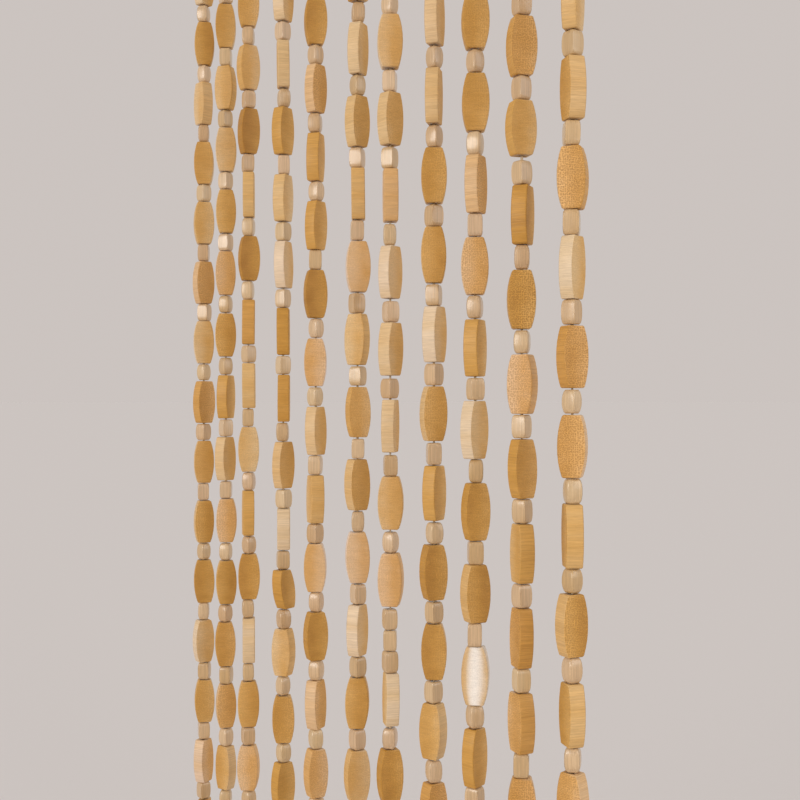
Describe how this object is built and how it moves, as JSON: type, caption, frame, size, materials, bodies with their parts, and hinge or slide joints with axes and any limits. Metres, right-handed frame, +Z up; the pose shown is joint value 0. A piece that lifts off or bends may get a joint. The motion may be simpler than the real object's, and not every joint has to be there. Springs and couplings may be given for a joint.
{
  "type": "bead curtain",
  "caption": "Hung length of a bamboo bead curtain: barrel-shaped flat beads and short square beads on strings under a plain heading strip.",
  "frame": {"origin": "middle of the heading strip's top face, where the curtain is held", "axes": "+Z up, so the strands hang down along -Z; X along the curtain's width, +X to the right as seen from the front; the front faces -Y"},
  "size_m": [0.357, 0.018, 0.7464],
  "materials": {
    "bamboo": "satin",
    "pale_bamboo": "satin",
    "string": "matte",
    "heading_wood": "satin"
  },
  "bodies": {
    "root": {"strands_on_heading": "bamboo"}
  },
  "joints": []
}
